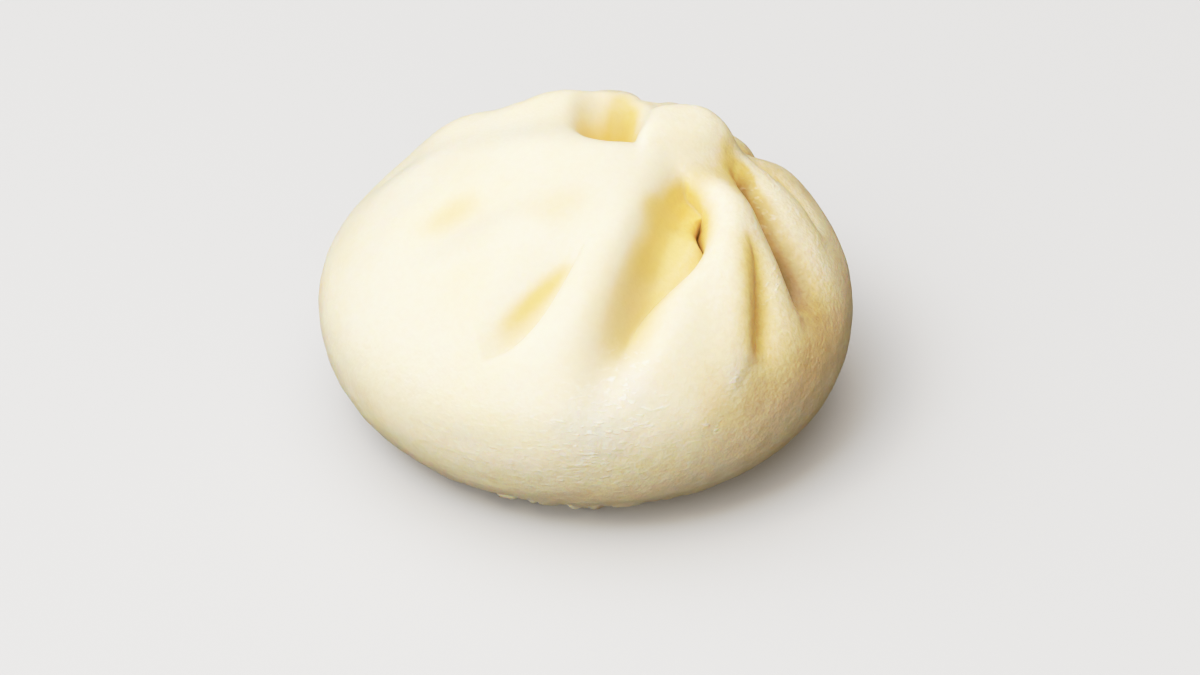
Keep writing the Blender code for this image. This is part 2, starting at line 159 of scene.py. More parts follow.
# Creases have a sharp bottom: sides and fades scale the width left, right, before and past the course, and
# lean pulls one lip over the crease by so many millimetres.
creases = [
    # steep right wall of the pit
    {"name": "pitWall", "middle": (9.6, 6.8), "heading": 92, "length": 11.5, "bend": 24, "curl": 0,
     "depths": (3.0, 6.5, 5.0, 1.5), "widths": (2.6, 2.6),
     "sides": (1.0, 0.22), "fades": (1, 1), "lean": 0},
    # overhanging right lip of the open pleat
    {"name": "pocketLip", "middle": (20.4, -25.9), "heading": -109, "length": 40.6, "bend": -85, "curl": 41,
     "depths": (3.0, 6.9, 4.0, 2.9, 0.4), "widths": (3.4, 3.8, 3.5),
     "sides": (0.3, 1.0), "fades": (1, 1), "lean": 1.8},
    # slot below the lip
    {"name": "pocketSlot", "middle": (25.0, -15.6), "heading": -91, "length": 9.6, "bend": -60, "curl": 5,
     "depths": (0.2, 4.0, 7.0, 4.0, 0.2), "widths": (2.6, 2.8),
     "sides": (0.2, 0.9), "fades": (1, 1), "lean": 0.6},
    # narrow slit
    {"name": "creaseD", "middle": (30.8, -26.3), "heading": -83, "length": 18.5, "bend": -27, "curl": 6,
     "depths": (0.2, 0.7, 1.05, 1.2, 0.3), "widths": (3.4, 3.8, 3.4),
     "sides": (0.9, 0.25), "fades": (1, 1), "lean": -0.5},
    # groove with a sharp left edge
    {"name": "creaseF", "middle": (34.1, -14.0), "heading": -62, "length": 23.2, "bend": 17, "curl": -15,
     "depths": (7.0, 7.5, 6.0, 5.5, 0.8), "widths": (3.2, 4.0, 4.4),
     "sides": (1.0, 0.25), "fades": (0.7, 1), "lean": -0.8},
    # right shoulder crease
    {"name": "creaseH", "middle": (39.4, 4.0), "heading": -35, "length": 18.9, "bend": -90, "curl": -1,
     "depths": (0.8, 2.4, 2.3, 1.3, 0.2), "widths": (3.0, 3.0, 3.0),
     "sides": (1, 0.5), "fades": (1, 1), "lean": 0},
    # half-moon slit
    {"name": "creaseJ", "middle": (-7.0, -34.7), "heading": -140, "length": 25.4, "bend": -60, "curl": -10,
     "depths": (0.5, 2.3, 3.3, 3.0, 0.3), "widths": (3.2, 4.4, 4.8),
     "sides": (0.25, 1.4), "fades": (1, 1), "lean": 0.8},
    # short step below the slit
    {"name": "creaseM", "middle": (28.6, -38.9), "heading": -118, "length": 6.0, "bend": -30, "curl": 5,
     "depths": (0.1, 0.35, 0.1), "widths": (2.2, 2.4),
     "sides": (1, 0.4), "fades": (1, 1), "lean": 0},
    # right back crease
    {"name": "creaseR", "middle": (34.6, 25.9), "heading": 71, "length": 15.4, "bend": 28, "curl": 5,
     "depths": (1.6, 3.7, 4.8, 3.6, 0.4), "widths": (3.4, 3.8, 4.0),
     "sides": (0.4, 1.2), "fades": (1, 1), "lean": 1.0},
    # back crease
    {"name": "creaseS", "middle": (24.7, 30.5), "heading": 83, "length": 23.6, "bend": 21, "curl": 15,
     "depths": (1.0, 3.2, 4.2, 3.6, 0.3), "widths": (3.4, 3.9, 4.0),
     "sides": (1.2, 0.4), "fades": (1, 1), "lean": 0},
    # back crease
    {"name": "creaseT", "middle": (10.2, 33.9), "heading": 108, "length": 24.0, "bend": 59, "curl": 2,
     "depths": (0.8, 3.7, 5.3, 4.7, 0.4), "widths": (3.6, 4.3, 4.0),
     "sides": (0.4, 1.2), "fades": (1, 1), "lean": 1.0},
    # left back crease
    {"name": "creaseU", "middle": (-22.7, 27.1), "heading": 149, "length": 25.6, "bend": 12, "curl": 6,
     "depths": (0.6, 2.3, 3.4, 3.2, 0.3), "widths": (4.0, 4.5, 4.5),
     "sides": (0.5, 1.2), "fades": (1, 1), "lean": 0},
]

# What a fold's depth is multiplied by for its colour, which is partly the dough's own deeper cream and partly
# painted shade in the fold; 1 where not named. Above 1 it looks yellower.
foldTintAndShadeWarmth = {"pit": 0.5, "knot": 0.35, "knotTwin": 0.35, "ribC": 0.4, "ribE": 0.3, "pocket": 1.25,
              "pocketLip": 0.5, "creaseJ": 0.8, "creaseD": 1.8, "slitFloor": 1.6, "grooveFloor": 0.2,
              "creaseF": 0.2, "dimpleK": 0.6, "creaseH": 1.5}

# Stretches painted yellower still as painted shade, where folds, the neck and the right side turn from the
# light, on courses like those of the folds. Here the depths are the depth of fold that has the same colour.
paintedShadeWarmBands = [
    # neck of the knot
    {"name": "neckWarm", "middle": (21.6, -5.0), "heading": -10, "length": 6.0, "bend": 0, "curl": 0,
     "depths": (2.0, 2.8, 2.2), "widths": (3.0, 3.2)},
    # right side of the neck
    {"name": "sideOfNeckWarm", "middle": (28.6, -7.6), "heading": -72, "length": 8.0, "bend": 0, "curl": 0,
     "depths": (3.2, 4.2, 2.8), "widths": (4.4, 3.0)},
    # upper left wall of the open pleat
    {"name": "wallTopWarm", "middle": (11.2, -15.6), "heading": -118, "length": 7.0, "bend": 0, "curl": 0,
     "depths": (2.4, 3.2, 2.0), "widths": (2.8, 3.0)},
    # head of the open pleat
    {"name": "headWarm", "middle": (19.4, -12.0), "heading": -70, "length": 6.0, "bend": 0, "curl": 0,
     "depths": (3.4, 4.6, 3.4), "widths": (2.6, 2.8)},
    # foot of the open pleat, paler than it is deep
    {"name": "footPale", "middle": (10.4, -33.0), "heading": -120, "length": 16.0, "bend": -6, "curl": 0,
     "depths": (-1.6, -2.8, -2.8, -1.0), "widths": (3.2, 3.6)},
    # right wall of the pit
    {"name": "pitWarm", "middle": (7.2, 19.2), "heading": -60, "length": 9.0, "bend": 0, "curl": 0,
     "depths": (3.0, 4.2, 3.0), "widths": (2.8, 2.8)},
    # left wall of the open pleat
    {"name": "wallWarm", "middle": (6.4, -30.6), "heading": -114, "length": 18.0, "bend": 0, "curl": 0,
     "depths": (2.0, 1.8, 1.6, 1.2), "widths": (3.2, 3.4)},
    # foot of the rib right of the open pleat
    {"name": "frontWarm", "middle": (21.5, -41.0), "heading": -60, "length": 14.0, "bend": 0, "curl": 0,
     "depths": (1.2, 1.7, 1.8), "widths": (8.0, 8.0)},
    # left bank of the narrow slit
    {"name": "bankWarm", "middle": (27.8, -26.5), "heading": -90, "length": 19.0, "bend": -10, "curl": 0,
     "depths": (2.0, 2.8, 2.8, 1.6), "widths": (3.2, 3.4)},
    # floor of the narrow slit
    {"name": "slitWarm", "middle": (30.2, -27.0), "heading": -85, "length": 17.0, "bend": -20, "curl": 0,
     "depths": (1.4, 2.6, 3.8, 2.4), "widths": (1.8, 1.8)},
    # right side of the knot down into the groove
    {"name": "knotWarm", "middle": (26.6, 0.6), "heading": -58, "length": 10.0, "bend": 30, "curl": 0,
     "depths": (3.2, 3.4, 3.2, 3.4), "widths": (2.8, 3.0)},
    # groove with a sharp left edge
    {"name": "grooveWarm", "middle": (36.2, -10.0), "heading": -60, "length": 26.0, "bend": -6, "curl": 0,
     "depths": (7.5, 4.6, 2.4, 1.6, 1.0), "widths": (1.8, 2.2, 3.0)},
    # above the half-moon slit
    {"name": "moonWarm", "middle": (-8.6, -31.9), "heading": -147, "length": 17.0, "bend": 0, "curl": 0,
     "depths": (2.6, 3.2, 3.0, 1.8), "widths": (2.0, 2.4)},
    # between the dimple and the half-moon slit
    {"name": "middleWarm", "middle": (-5.0, -16.4), "heading": -155, "length": 17.0, "bend": 0, "curl": 0,
     "depths": (2.4, 3.0, 2.6), "widths": (7.0, 7.0)},
    # above the faint left dimple
    {"name": "dimpleWarm", "middle": (-25.0, -9.6), "heading": -160, "length": 12.0, "bend": 0, "curl": 0,
     "depths": (1.6, 2.6, 1.8), "widths": (3.6, 4.0)},
    # the whole right side, painted shade on the side away from the light
    {"name": "sideWarm", "middle": (42.0, -20.0), "heading": -65, "length": 26.0, "bend": 0, "curl": 0,
     "depths": (0.9, 1.4, 1.8), "widths": (11.0, 15.0)},
    # low right edge, painted shade
    {"name": "edgeWarm", "middle": (38.0, -32.0), "heading": 50, "length": 34.0, "bend": 40, "curl": 0,
     "depths": (1.0, 1.6, 1.6), "widths": (8.0, 9.0)},
]

# Stretches darkened by painted shade, beside overhangs, in hollows and on sides turned from the light: here
# the depths are strengths from 0 to 1
paintedShadeBands = [
    # painted shadow under the rib that overhangs the groove
    {"name": "grooveDull", "middle": (36.9, -11.6), "heading": -62, "length": 26.0, "bend": -6, "curl": 0,
     "depths": (0.6, 0.6, 0.5, 0.9, 0.7), "widths": (1.6, 2.6, 4.2)},
    # foot of the open pleat
    {"name": "footDull", "middle": (9.6, -33.4), "heading": -118, "length": 22.0, "bend": 0, "curl": 0,
     "depths": (0.15, 0.26, 0.26, 0.2), "widths": (3.4, 4.0)},
    # flat of the moist patch
    {"name": "frontDull", "middle": (2.0, -46.0), "heading": -90, "length": 7.0, "bend": 0, "curl": 0,
     "depths": (0.04, 0.05, 0.02), "widths": (6.0, 7.0)},
    # neck of the knot
    {"name": "neckDull", "middle": (22.4, -4.6), "heading": -15, "length": 8.0, "bend": 0, "curl": 0,
     "depths": (0.2, 0.28, 0.22), "widths": (3.0, 4.0)},
    # far wall of the pit
    {"name": "pitDull", "middle": (7.0, 19.4), "heading": -60, "length": 9.0, "bend": 0, "curl": 0,
     "depths": (0.22, 0.3, 0.2), "widths": (2.8, 2.8)},
    # far shoulder
    {"name": "shoulderDull", "middle": (36.0, 10.2), "heading": -28, "length": 15.0, "bend": 0, "curl": 0,
     "depths": (0.4, 0.35, 0.15), "widths": (3.0, 3.2)},
    # low right edge
    {"name": "edgeDull", "middle": (36.0, -34.0), "heading": 48, "length": 36.0, "bend": 40, "curl": 0,
     "depths": (0.1, 0.26, 0.2), "widths": (7.0, 8.0)},
    # beyond the faint crease low on the right
    {"name": "creaseDull", "middle": (33.4, -37.4), "heading": -130, "length": 8.0, "bend": 0, "curl": 0,
     "depths": (0.1, 0.2, 0.2), "widths": (2.6, 3.0)},
]

# Patches of the folded skin: where, how far each way, and shares of whitish moisture and of glossy flecks,
# whose whitening is partly painted highlight
skinPatches = [
    # foot of the open pleat
    {"centre": (1.6, -48.6, 26.0), "reach": (8.0, 7.0, 8.0), "moist": 0.9, "flecks": 1.6},
    # bright streak beside it, its many whitened flecks partly painted highlight
    {"centre": (9.0, -45.5, 31.0), "reach": (4.2, 5.0, 9.0), "moist": 0.65, "flecks": 3.2},
    # low front
    {"centre": (2.0, -49.0, 17.0), "reach": (18.0, 9.0, 6.0), "moist": 0.4, "flecks": 0.65},
    # step below the narrow slit
    {"centre": (26.6, -39.8, 31.0), "reach": (2.4, 5.0, 3.6), "moist": 0.6, "flecks": 0.8},
    # front, all of it lower down
    {"centre": (-2.0, -50.0, 18.0), "reach": (34.0, 16.0, 14.0), "moist": 0.0, "flecks": 0.5},
    # right lobe
    {"centre": (34.2, -3.4, 45.4), "reach": (6.0, 7.0, 4.0), "moist": 0.0, "flecks": 0.7},
    # side rib
    {"centre": (33.8, -23.0, 39.2), "reach": (2.2, 4.0, 3.2), "moist": 0.0, "flecks": 1.2},
    # rough spot low in front
    {"centre": (22.2, -45.3, 23.5), "reach": (2.0, 3.0, 1.5), "moist": 0.2, "flecks": 2.0},
]

# Fine relief of the skin, in millimetres: grain is the size of one swell, height its rise or fall
skinRelief = {
    "swellGrain": 9.0,
    "swellHeight": 0.16,
    "rippleGrain": 4.2,
    "rippleHeight": 0.07,
    "wrinkleGrain": 2.3,
    "wrinkleHeight": 0.07,
    "wrinklesFrom": 42.0,      # the skin grows rougher from this height down
    "wrinklesFull": 12.0,
    "leastWrinkles": 0.3,      # share of the wrinkles that is left at the top
    "fringeBearing": -97.0,    # where the skin has stuck at the foot and stands out ragged
    "fringeReach": 26.0,       # half the ragged stretch, degrees
    "fringeFull": 1.0,         # height up to which the fringe is full
    "fringeTop": 8.0,
    "fringeGrain": 1.9,
    "fringeHeight": 1.1,
    "fringeMoist": 0.5,
    "flatBelow": 1.2,          # the relief dies out below this height, so that the foot rests flat
    "coarseLow": 0.5,          # coarseness of the grain where the skin is rough
    "coarseMoist": 0.4,        # and what the moist patches add
    "coarseSide": (8.0, 42.0),  # it grows to 1 between these two places to the right
}


def beltRadius(x, y):
    # reach of the widest belt: radius * (1 + oval * cos(2 * (bearing - ovalBearing)))
    bearing = np.arctan2(y, x)
    swell = bunSizes["oval"]*np.cos(2*(bearing-np.radians(bunSizes["ovalBearing"])))
    return bunSizes["bellyRadius"]*(1+swell)


def domeHeight(x, y):
    # height over the plan: belly + rise * (1 - share²)^power, where share is the distance from a centre that
    # slides to the crown's shift by 1 - share^1.5, and power eases to a half at the belt
    radius = beltRadius(x, y)
    shiftX, shiftY = bunSizes["crownShift"]
    share = np.hypot(x, y)/radius
    for _ in range(14):
        slide = 1-np.clip(share, 0, 1)**1.5
        share = np.hypot(x-shiftX*slide, y-shiftY*slide)/radius
    share = np.clip(share, 0, 1)
    power = 0.5+(bunSizes["fullness"]/2-0.5)*(1-share**bunSizes["beltRounding"])
    rise = bunSizes["crownHeight"]-bunSizes["bellyHeight"]
    return bunSizes["bellyHeight"]+rise*(1-share**2)**power


def plainSkin(turn, level):
    # the bun without folds: level 0 is the crown, 1 the belt, 2 the foot's edge and 3 the foot's middle.
    # reach = belt radius * sin(level * 90°) above the belt, and below it foot + (1 - foot) * cos(down)^curve
    up = np.clip(level, 0, 1)
    share = np.sin(up*np.pi/2)
    slide = 1-share**1.4
    bearing = turn+np.radians(bunSizes["twistSweep"])*up
    down = np.clip(level-1, 0, 1)*np.pi/2
    tuck = bunSizes["footTuck"]*np.cos(bearing-np.radians(bunSizes["tuckBearing"]))
    foot = bunSizes["footShare"]-tuck
    under = foot+(1-foot)*np.cos(down)**bunSizes["underCurve"]
    under = np.where(level > 2, foot*(3-level), under)
    reach = beltRadius(np.cos(bearing), np.sin(bearing))*share*np.where(level > 1, under, 1.0)
    x = bunSizes["twistCentre"][0]*slide+reach*np.cos(bearing)
    y = bunSizes["twistCentre"][1]*slide+reach*np.sin(bearing)
    z = np.where(level > 1, bunSizes["bellyHeight"]*(1-np.sin(down)), domeHeight(x, y))
    return np.stack([x, y, z], -1)


def outward(turn, level):
    # unit normal of the plain bun, from the cross product of small steps along and across it
    step = 0.004
    near = np.clip(level, step, 2-step)
    across = plainSkin(turn+step, near)-plainSkin(turn-step, near)
    along = plainSkin(turn, near+step)-plainSkin(turn, near-step)
    normal = np.cross(along, across)
    normal /= np.linalg.norm(normal, axis=-1, keepdims=True)
    top = level < step
    if top.any():
        mean = normal[top].mean(0)
        normal[top] = mean/np.linalg.norm(mean)
    return normal


def evenly(values, share):
    # smooth run (Catmull-Rom) through values set at even steps of share 0 to 1
    knots = np.asarray(values, float)
    last = len(knots)-1
    place = np.clip(share, 0, 1)*last
    left = np.minimum(place.astype(int), last-1)
    part = place-left
    padded = np.concatenate([[2*knots[0]-knots[1]], knots, [2*knots[-1]-knots[-2]]])
    a, b, c, d = (padded[left+k] for k in range(4))
    return 0.5*(2*b+(c-a)*part+(2*a-5*b+4*c-d)*part**2+(3*b-a-3*c+d)*part**3)


def course(fold, count=81):
    # points along a fold's middle, on the dome: the heading turns evenly by bend, and in an S by curl
    share = np.linspace(0, 1, count)
    turning = fold["bend"]*(share-0.5)+fold["curl"]*(6*share**2-6*share+1)
    angle = np.radians(fold["heading"]+turning)
    step = fold["length"]/(count-1)
    runX = np.concatenate([[0], np.cumsum((np.cos(angle[1:])+np.cos(angle[:-1]))/2*step)])
    runY = np.concatenate([[0], np.cumsum((np.sin(angle[1:])+np.sin(angle[:-1]))/2*step)])
    pathX = fold["middle"][0]+runX-runX[count//2]
    pathY = fold["middle"][1]+runY-runY[count//2]
    return np.stack([pathX, pathY, domeHeight(pathX, pathY)], -1), share


def valleyCut(points, path, share, fold):
    # a soft valley: round dents depth * exp(-gap² / width²) summed along the course, levelled off if asked
    depth = evenly(fold["depths"], share)
    width = evenly(fold["widths"], share)
    stride = np.gradient(np.concatenate([[0], np.cumsum(np.linalg.norm(np.diff(path, axis=0), axis=1))]))
    gap = ((points[:, None, :]-path[None])**2).sum(-1)
    cut = (depth*stride/(width*np.sqrt(np.pi))*np.exp(-gap/width**2)).sum(1)
    if "levelsOffAt" in fold:
        cut = cut/(1+(cut/fold["levelsOffAt"])**4)**0.25
    return cut


def creaseCut(points, path, share, fold):
    # a crease: depth * exp(-1.25 * spread) from the nearest place on the course, with its own width on either
    # side, and the sideways pull lean * spread * exp(1 - spread) that draws one lip over it
    sharpness, blunt, turnover = 1.25, 0.25, 1.15      # blunt rounds the very bottom
    tangent = np.gradient(path, axis=0)
    tangent /= np.linalg.norm(tangent, axis=1, keepdims=True)
    stride = np.linalg.norm(np.diff(path, axis=0), axis=1).mean()
    nearest = ((points[:, None, :]-path[None])**2).sum(-1).argmin(1)
    ahead = ((points-path[nearest])*tangent[nearest]).sum(1)/stride
    place = np.clip(nearest+np.clip(ahead, -1, 1), 0, len(path)-1)
    left = np.minimum(place.astype(int), len(path)-2)
    part = place-left
    foot = path[left]+(path[left+1]-path[left])*part[:, None]
    along = tangent[left]+(tangent[left+1]-tangent[left])*part[:, None]
    at = place/(len(path)-1)
    depth = evenly(fold["depths"], at)
    width = evenly(fold["widths"], at)
    offset = points-foot
    over = (offset*along).sum(1)
    across = offset-along*over[:, None]
    away = np.linalg.norm(offset, axis=1)+1e-9
    # from -1 right of the course to 1 left of it
    side = np.clip((along[:, 0]*offset[:, 1]-along[:, 1]*offset[:, 0])/away*turnover, -1, 1)
    wideLeft, wideRight = fold["sides"]
    wideAcross = width*(wideRight+(wideLeft-wideRight)*(0.5+0.5*side))
    wideAlong = width*np.where(over < 0, *fold["fades"])
    spread = np.sqrt((np.linalg.norm(across, axis=1)/wideAcross)**2+(over/wideAlong)**2)
    cut = depth*np.exp(-sharpness*(np.sqrt(spread**2+blunt**2)-blunt))
    lip = np.clip(side*np.sign(fold["lean"]), 0, 1)*spread*np.exp(1-spread)
    strength = abs(fold["lean"])*np.clip(depth/max(fold["depths"]), 0, 1)*lip
    return cut, -across/away[:, None]*strength[:, None]


def softNoise(points, grain, seed):
    # random values from -1 to 1 on a lattice of that grain, blended between corners by s³(10 - 15s + 6s²)
    size = 48
    lattice = np.random.default_rng(seed).uniform(-1, 1, (size, size, size))
    place = points/grain
    cell = np.floor(place).astype(int)
    part = place-cell
    part = part**3*(10-15*part+6*part**2)
    total = np.zeros(len(points))
    for corner in np.ndindex(2, 2, 2):
        weight = np.prod(np.where(corner, part, 1-part), axis=1)
        i, j, k = ((cell[:, axis]+corner[axis]) % size for axis in range(3))
        total += weight*lattice[i, j, k]
    return total


def easeStep(value, low, high):
    # 0 below low, 1 above high, 3s² - 2s³ between
    share = np.clip((value-low)/(high-low), 0, 1)
    return share*share*(3-2*share)


def fineRelief(points):
    # how far the skin stands out: soft swells and ripples all over, wrinkles that grow lower down, and the
    # ragged fringe round its bearing near the foot, each height * noise; also the shares of moisture, flecks
    # and coarse grain for the finish
    height = points[:, 2]
    rise = skinRelief["swellHeight"]*softNoise(points, skinRelief["swellGrain"], 3)
    rise += skinRelief["rippleHeight"]*softNoise(points, skinRelief["rippleGrain"], 4)
    low = 1-easeStep(height, skinRelief["wrinklesFull"], skinRelief["wrinklesFrom"])
    wrinkled = skinRelief["leastWrinkles"]+(1-skinRelief["leastWrinkles"])*low
    rise += skinRelief["wrinkleHeight"]*wrinkled*softNoise(points, skinRelief["wrinkleGrain"], 5)
    bearing = np.degrees(np.arctan2(points[:, 1], points[:, 0]))
    beside = np.exp(-((bearing-skinRelief["fringeBearing"])/skinRelief["fringeReach"])**2)
    fringe = beside*(1-easeStep(height, skinRelief["fringeFull"], skinRelief["fringeTop"]))
    tatter = softNoise(points*(1, 1, 0.5), skinRelief["fringeGrain"], 6)
    rise += fringe*skinRelief["fringeHeight"]*tatter
    moist, flecks = np.zeros((2, len(points)))
    for patch in skinPatches:
        # exp(-gap²) with the gap counted in reaches
        nearness = np.exp(-(((points-patch["centre"])/patch["reach"])**2).sum(1))
        moist = np.maximum(moist, patch["moist"]*nearness)
        flecks = np.maximum(flecks, patch["flecks"]*nearness)
    rough = np.maximum(skinRelief["coarseLow"]*low, easeStep(points[:, 0], *skinRelief["coarseSide"]))
    coarse = rough+skinRelief["coarseMoist"]*moist
    moist = np.maximum(moist, skinRelief["fringeMoist"]*fringe)
    return rise, {"moisture": moist, "flecks": flecks, "coarseness": coarse}


def bunSurface(turn, level):
    # plain skin - normal * folds + normal * fine relief + pulls, where the folds fade out near the foot. The
    # facts for the finish are the folds' depth as their colour and painted shade see it, the strength of
    # painted shade and the share of painted slot shadow.
    valleyReach, creaseReach = 3.2, 4.2        # how many widths from its course a fold is still felt
    base = plainSkin(turn, level)
    flat = base.reshape(-1, 3)
    normal = outward(turn, level).reshape(-1, 3)
    cut, foldTintAndShade, paintedShade, slotShadow = np.zeros((4, len(flat)))
    pull = np.zeros_like(flat)
    for row in valleys+creases+paintedShadeWarmBands+paintedShadeBands:
        path, share = course(row)
        spread = creaseReach*max(row["sides"]+row["fades"]) if row in creases else valleyReach
        limit = row["length"]/2+spread*max(row["widths"])
        near = np.hypot(flat[:, 0]-row["middle"][0], flat[:, 1]-row["middle"][1]) < limit
        if row in creases:
            more, moved = creaseCut(flat[near], path, share, row)
            pull[near] += moved
        else:
            more = valleyCut(flat[near], path, share, row)
        # painted shade bands only darken the colour; they cut nothing
        if row in paintedShadeBands:
            paintedShade[near] += more
            continue
        foldTintAndShade[near] += more*foldTintAndShadeWarmth.get(row["name"], 1.0)
        if row not in paintedShadeWarmBands:
            cut[near] += more
        # the lip and the slot below it also set the painted slot shadow
        if row["name"] in ("pocketLip", "pocketSlot"):
            slotShadow[near] += more
    keep = easeStep(flat[:, 2], 0, bunSizes["footBlend"])
    folded = flat-normal*(cut*keep)[:, None]+pull*keep[:, None]
    rise, finish = fineRelief(folded)
    rise *= easeStep(folded[:, 2], 0, skinRelief["flatBelow"])
    folded += normal*rise[:, None]
    folded[level.ravel() >= 2, 2] = 0.0
    facts = {"foldTintAndShadeDepth": foldTintAndShade*keep, "paintedShadeStrength": paintedShade*keep,
             "slotShadowShare": easeStep(slotShadow, *bunSizes["slotShadowDepths"]), **finish}
    return folded.reshape(base.shape), {name: value.reshape(level.shape) for name, value in facts.items()}


def closedMesh(name, rings, facts):
    # rings of points closed round, with one point at either pole; facts become attributes of the points
    ringCount, turnCount = rings.shape[:2]
    inner = rings[1:-1]
    points = np.concatenate([rings[0].mean(0)[None], inner.reshape(-1, 3), rings[-1].mean(0)[None]])
    index = 1+np.arange((ringCount-2)*turnCount).reshape(ringCount-2, turnCount)
    following = np.roll(index, -1, axis=1)
    quads = np.stack([index[:-1], index[1:], following[1:], following[:-1]], -1).reshape(-1, 4)
    top = np.stack([np.zeros(turnCount, int), index[0], following[0]], -1)
    bottom = np.stack([np.full(turnCount, len(points)-1), following[-1], index[-1]], -1)
    mesh = bpy.data.meshes.new(name)
    mesh.from_pydata(points.tolist(), [], quads.tolist()+top.tolist()+bottom.tolist())
    mesh.shade_smooth()
    for fact, value in facts.items():
        layer = mesh.attributes.new(fact, "FLOAT", "POINT")
        values = np.concatenate([[value[0].mean()], value[1:-1].ravel(), [value[-1].mean()]])
        layer.data.foreach_set("value", values.astype(np.float32))
    return mesh


def buildBun():
    # rings of turns that stand closer at the pleats, from the crown over the belt to the foot's middle
    even = np.linspace(0, 2*np.pi, bunSizes["turns"], endpoint=False)
    turns = even-bunSizes["crowding"]*np.sin(even-np.radians(bunSizes["crowdedBearing"]))
    upper = np.linspace(0, 1, bunSizes["upperRings"])**bunSizes["crownCrowding"]
    lower = 1+np.linspace(0, 1, bunSizes["lowerRings"]+1)[1:]
    foot = 2+np.linspace(0, 1, bunSizes["footRings"]+1)[1:]
    turn, level = np.meshgrid(turns, np.concatenate([upper, lower, foot]))
    rings, facts = bunSurface(turn, level)
    mesh = closedMesh("bunSkin", rings*millimetre, facts)
    piece = bpy.data.objects.new("bunSkin", mesh)
    bpy.context.scene.collection.objects.link(piece)
    print("bun skin made,", len(mesh.polygons), "faces")
    return piece


def hexColour(text):
    # sRGB hex to linear colour: ((c + 0.055) / 1.055)^2.4, or c / 12.92 for the darkest
    parts = [int(text[k:k+2], 16)/255 for k in (1, 3, 5)]
    linear = [((part+0.055)/1.055)**2.4 if part > 0.04045 else part/12.92 for part in parts]
    return (*linear, 1.0)


def addNode(tree, kind, settings=None, links=None):
    # one node with its settings, then what feeds it; an input goes by its name or number
    node = tree.nodes.new(kind)
    for name, value in (settings or {}).items():
        if isinstance(name, str) and hasattr(node, name):
            setattr(node, name, value)
        else:
            node.inputs[name].default_value = value
    for name, source in (links or {}).items():
        tree.links.new(source, node.inputs[name])
    return node


# Steamed wheat dough: a thin moist skin over soft white crumb, satin rather than glossy. Light goes a few
# millimetres in and comes out yellower, so folds look deeper cream; their yellows here are partly painted
# shade.
# Pores are about half a millimetre wide, and the grain is drawn a little coarser than the real one, so that
# it shows.
# Sizes are in millimetres.
dough = {
    "skin": "#fbe9c6",
    "skinWarm": "#f9e4b8",
    "mottleSize": 14.0,                # patches of the two
    "mottleRange": (0.35, 0.7),
    # the folds' colours: partly the dough's own deeper cream, partly painted shade that darkens a fold the
    # deeper it is
    "fold": "#e8c678",
    "foldDepths": (0.8, 4.8),          # a fold takes on its colour between these depths
    "deepFold": "#deb04e",
    "deepFoldDepths": (5.0, 13.0),
    # painted shadow in the slot under the open pleat's lip
    "slotShadow": "#9c6612",
    # painted shade: what the most shaded places are multiplied by
    "paintedShadeTint": "#aea081",             # what the dullest places are multiplied by
    "moist": "#eae4cf",
    # the flecks' colour: raised bubbles of the moist skin, whitened partly as painted highlight glints
    "fleck": "#fff7e2",                # raised glossy bubbles of the moist skin
    "fleckSize": 1.7,                  # length of a fleck
    "fleckFlatness": 2.6,              # how many times longer than high it is
    "fleckRange": (0.56, 0.72),        # noise from where it starts to where it is full
    "fleckShare": 0.8,                 # how far it takes on its own colour
    "fleckGloss": 0.22,                # how much smoother it is
    "grainSize": 1.3,
    "grainRange": (0.60, 0.36),        # noise from where a hollow starts to where it is deepest
    "grainShare": 0.36,                # how far it takes on its tint there
    # painted shade in the grain's hollows: what the deepest of them are multiplied by
    "grainHollowShade": "#e0d6bd",            # what the deepest hollows are multiplied by
    "leastGrain": 0.3,                 # share of the grain that is left on the smooth side
    "poreSize": 0.6,
    "poreShare": 0.5,
    "reliefDepth": 0.25,
    "specks": ((32.4, -35.7, 29.2), (-25.6, -3.1, 49.0)),  # where the dark specks are
    "speck": "#8a7440",
    "speckSize": 0.35,
    "roughness": (0.36, 0.56),         # hollows to tops of the grain
    "roughnessRange": (0.3, 0.75),
    "indexOfRefraction": 1.4,
    "moistFilm": 0.5,                  # coat of water on the skin
    "filmRoughness": 0.42,
    "filmRefraction": 1.33,
    "lightReach": (2.2, 1.6, 0.8),     # red, green, blue
}


